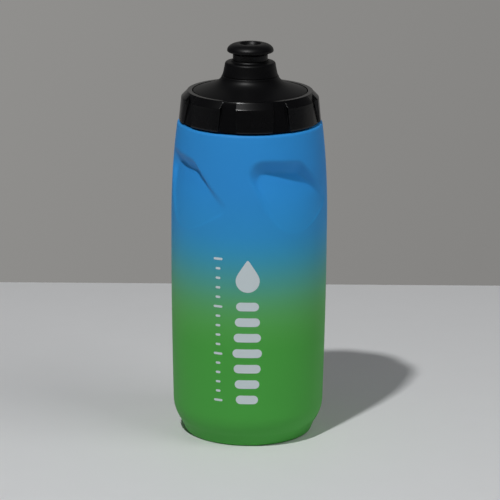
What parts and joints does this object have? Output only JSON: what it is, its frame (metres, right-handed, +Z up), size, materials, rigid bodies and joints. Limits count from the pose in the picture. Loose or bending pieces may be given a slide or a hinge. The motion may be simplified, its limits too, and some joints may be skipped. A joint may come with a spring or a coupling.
{
  "type": "sports squeeze bottle",
  "caption": "Tall squeezable drinks bottle with finger recesses, a screw cap with a domed top and a push-pull drinking valve that slides up to open.",
  "frame": {"origin": "centre of the foot ring, on the surface the bottle stands on", "axes": "+Z up along the bottle's axis, -Y towards the printed front, +X to the right of the front"},
  "size_m": [0.074, 0.074, 0.1882],
  "materials": {
    "bottle_plastic": "soft-touch satin, blue at the top fading to green at the bottom",
    "white_ink": "screen-printed ink",
    "cap_gloss_black": "polished black polypropylene",
    "cap_satin_black": "satin black polypropylene",
    "valve_black": "satin black polypropylene",
    "bite_rubber": "soft thermoplastic rubber",
    "seal_rubber": "silicone rubber"
  },
  "bodies": {
    "bottle": {"squeeze_body": "bottle_plastic"},
    "cap_seal": {"cap_gasket": "seal_rubber"},
    "cap": {"screw_collar": "cap_gloss_black", "spout_dome": "cap_satin_black", "plug_post": "valve_black"},
    "valve": {"valve_core": "valve_black", "mouthpiece": "bite_rubber", "valve_seal_ring": "seal_rubber"}
  },
  "joints": [
    {"name": "cap_lift", "type": "slide", "parent": "bottle", "child": "cap_seal", "axis": [0, 0, 1], "range_m": [0, 0.0121]},
    {"name": "cap_unscrew", "type": "hinge", "parent": "cap_seal", "child": "cap", "pos_m": [0, 0, 0.158], "axis": [0, 0, 1], "range_deg": [0, 1080]},
    {"name": "valve_pull", "type": "slide", "parent": "cap", "child": "valve", "axis": [0, 0, 1], "range_m": [0, 0.005]}
  ],
  "couplings": [
    {"joint": "cap_lift", "follows": "cap_unscrew", "m_per_rad": 0.00063662}
  ]
}
